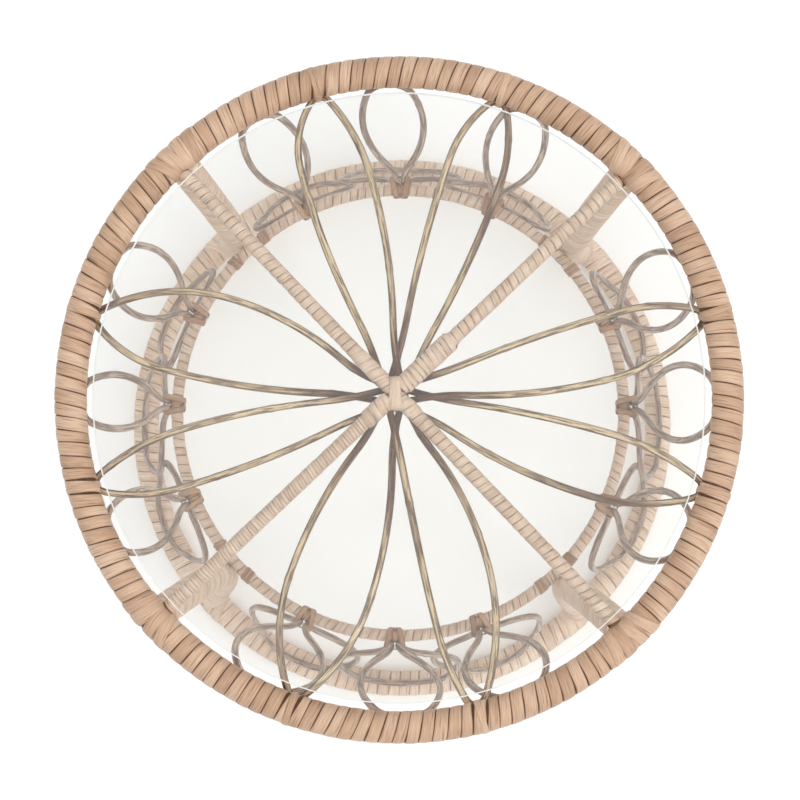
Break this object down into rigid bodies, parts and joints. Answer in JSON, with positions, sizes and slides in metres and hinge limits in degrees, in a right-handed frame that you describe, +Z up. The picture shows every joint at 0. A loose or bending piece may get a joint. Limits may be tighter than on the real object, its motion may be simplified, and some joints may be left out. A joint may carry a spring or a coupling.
{
  "type": "rattan side table",
  "caption": "Round waisted side table of wrapped rattan poles with bent cane loops round its side and under a loose glass top laid inside the top ring.",
  "frame": {"origin": "centre of the table at floor level", "axes": "+Z up; -Y towards the front as pictured from above, +X to the right"},
  "size_m": [0.5999, 0.6, 0.451],
  "materials": {
    "glass": "clear float glass with a ground edge",
    "cane_peel": "flat rattan peel, satin, light tan",
    "pole_wood": "rattan pole, satin",
    "cane": "thin rattan cane, satin, grey-brown",
    "olive_cane": "thin rattan cane, satin, olive-tan with dark streaks",
    "tie_peel": "flat rattan peel, satin, orange-brown",
    "steel": "plain steel nails and screws",
    "nylon": "moulded nylon glide"
  },
  "bodies": {
    "frame": {"top_ring_pole": "pole_wood", "top_ring_wrap": "cane_peel", "waist_ring_cane": "cane", "waist_ring_wrap": "cane_peel", "bottom_ring_pole": "pole_wood", "bottom_ring_wrap": "cane_peel", "leg_pole_1": "pole_wood", "leg_pole_2": "pole_wood", "leg_pole_3": "pole_wood", "leg_pole_4": "pole_wood", "leg_wrap_1": "cane_peel", "leg_wrap_2": "cane_peel", "leg_wrap_3": "cane_peel", "leg_wrap_4": "cane_peel", "long_cross_pole": "pole_wood", "long_cross_wrap": "cane_peel", "half_cross_pole_1": "pole_wood", "half_cross_pole_2": "pole_wood", "half_cross_wrap_1": "cane_peel", "half_cross_wrap_2": "cane_peel", "hub_binding": "cane_peel", "top_loop_1": "olive_cane", "top_loop_2": "olive_cane", "top_loop_3": "olive_cane", "top_loop_4": "olive_cane", "side_loop_01": "cane", "side_loop_02": "cane", "side_loop_03": "cane", "side_loop_04": "cane", "side_loop_05": "cane", "side_loop_06": "cane", "side_loop_07": "cane", "side_loop_08": "cane", "side_loop_09": "cane", "side_loop_10": "cane", "side_loop_11": "cane", "side_loop_12": "cane", "waist_ties": "tie_peel", "leg_waist_ties": "tie_peel", "petal_ties": "tie_peel", "leg_top_bindings": "cane_peel", "leg_foot_bindings": "cane_peel", "leg_screws": "steel", "waist_screws": "steel", "cross_pole_nails": "steel", "side_loop_brads": "steel", "floor_glides": "nylon", "glide_nails": "steel"},
    "glass": {"glass_top": "glass"}
  },
  "joints": [
    {"name": "glass_lift", "type": "slide", "parent": "frame", "child": "glass", "axis": [0, 0, 1], "range_m": [0, 0.1]}
  ]
}
